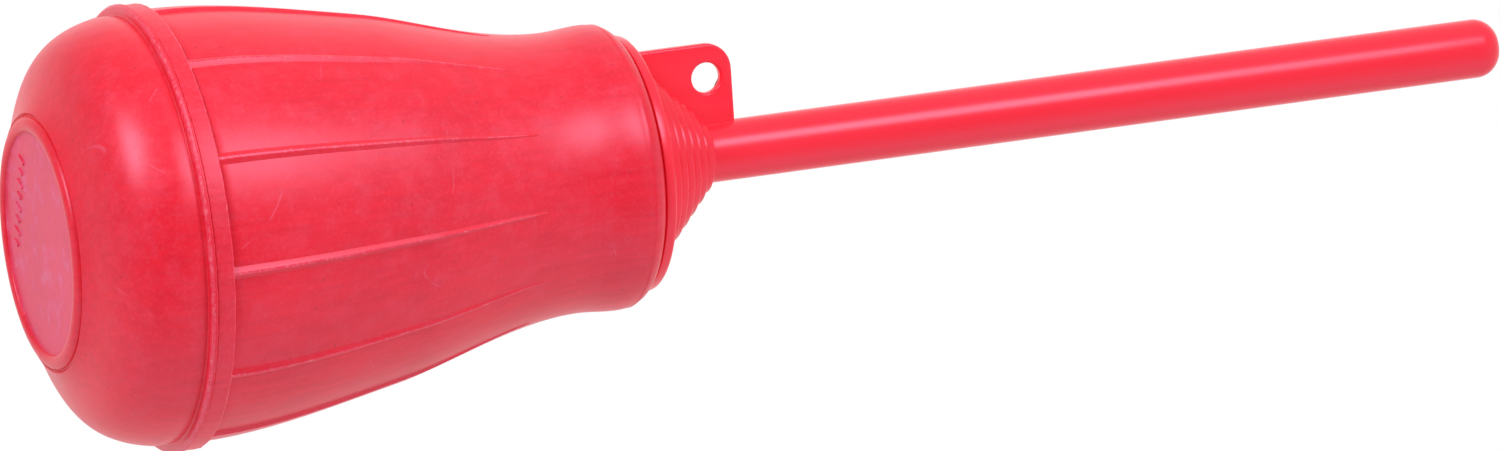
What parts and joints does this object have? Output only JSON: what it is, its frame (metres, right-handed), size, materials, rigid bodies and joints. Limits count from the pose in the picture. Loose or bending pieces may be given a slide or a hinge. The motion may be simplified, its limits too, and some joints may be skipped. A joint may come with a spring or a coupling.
{
  "type": "bulb-type battery filler",
  "caption": "Rubber squeeze bulb with a stepped funnel nozzle, long straight spout and hang tab, for topping up batteries and small fills of fluid.",
  "frame": {"origin": "middle of the foot ring's plane, on the bulb's axis", "axes": "+Z along the axis from the foot ring to the spout's tip; the hang tab points along -X; +Y completes the frame"},
  "size_m": [0.1, 0.1, 0.3512],
  "materials": {
    "bulb_rubber": "moulded natural rubber, satin with a faint bloom",
    "nozzle_plastic": "injection-moulded polyethylene, semi-gloss"
  },
  "bodies": {
    "base": {"bulb_base": "bulb_rubber"},
    "bulb": {"bulb_body": "bulb_rubber"},
    "funnel": {"nozzle": "nozzle_plastic"}
  },
  "joints": [
    {"name": "bulb_squeeze", "type": "slide", "parent": "base", "child": "bulb", "axis": [0, 0, -1], "range_m": [0, 0.025], "stiffness_N_per_m": 2500, "springref_m": -0.002, "deforming": ["bulb_body"]},
    {"name": "nozzle_pull", "type": "slide", "parent": "bulb", "child": "funnel", "axis": [0, 0, 1], "range_m": [0, 0.04]}
  ]
}
